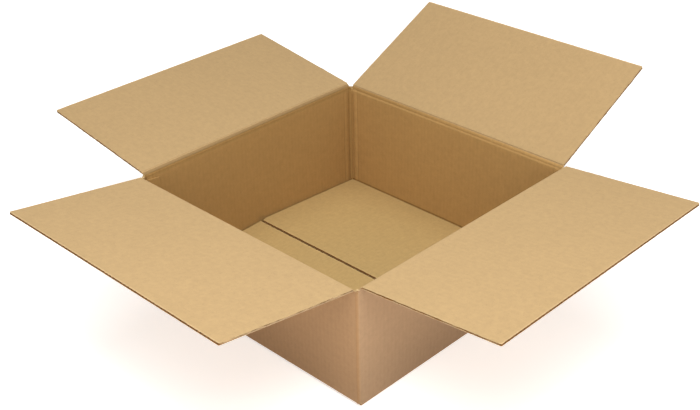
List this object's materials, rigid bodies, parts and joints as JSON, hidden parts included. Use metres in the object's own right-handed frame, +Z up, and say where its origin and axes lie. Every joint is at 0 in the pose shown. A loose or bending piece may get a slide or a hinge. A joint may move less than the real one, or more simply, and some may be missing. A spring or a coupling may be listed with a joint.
{
  "type": "open cardboard box",
  "caption": "Open corrugated cardboard box: a square, shallow slotted carton with a flat taped base and top flaps that swing on their creases.",
  "frame": {"origin": "middle of the underside, on the surface that the box stands on", "axes": "+Z up; front wall at -Y, right wall at +X, back wall at +Y, left wall at -X"},
  "size_m": [0.767, 0.7486, 0.2457],
  "materials": {
    "kraft_board": "matt brown kraft liner, uncoated",
    "kraft_tape": "smooth gummed kraft paper tape"
  },
  "bodies": {
    "carton": {"carton_body": "kraft_board", "bottom_tape": "kraft_tape"},
    "front_flap": {"front_flap": "kraft_board"},
    "right_flap": {"right_flap": "kraft_board"},
    "back_flap": {"back_flap": "kraft_board"},
    "left_flap": {"left_flap": "kraft_board"}
  },
  "joints": [
    {"name": "front_flap_hinge", "type": "hinge", "parent": "carton", "child": "front_flap", "pos_m": [0, -0.193, 0.15945], "axis": [-1, 0, 0], "range_deg": [-62.9, 171.1]},
    {"name": "right_flap_hinge", "type": "hinge", "parent": "carton", "child": "right_flap", "pos_m": [0.193, 0, 0.16275], "axis": [0, -1, 0], "range_deg": [-59.6, 174.4]},
    {"name": "back_flap_hinge", "type": "hinge", "parent": "carton", "child": "back_flap", "pos_m": [0, 0.193, 0.15945], "axis": [1, 0, 0], "range_deg": [-79.8, 154.2]},
    {"name": "left_flap_hinge", "type": "hinge", "parent": "carton", "child": "left_flap", "pos_m": [-0.193, 0, 0.16275], "axis": [0, 1, 0], "range_deg": [-62.5, 171.5]}
  ]
}
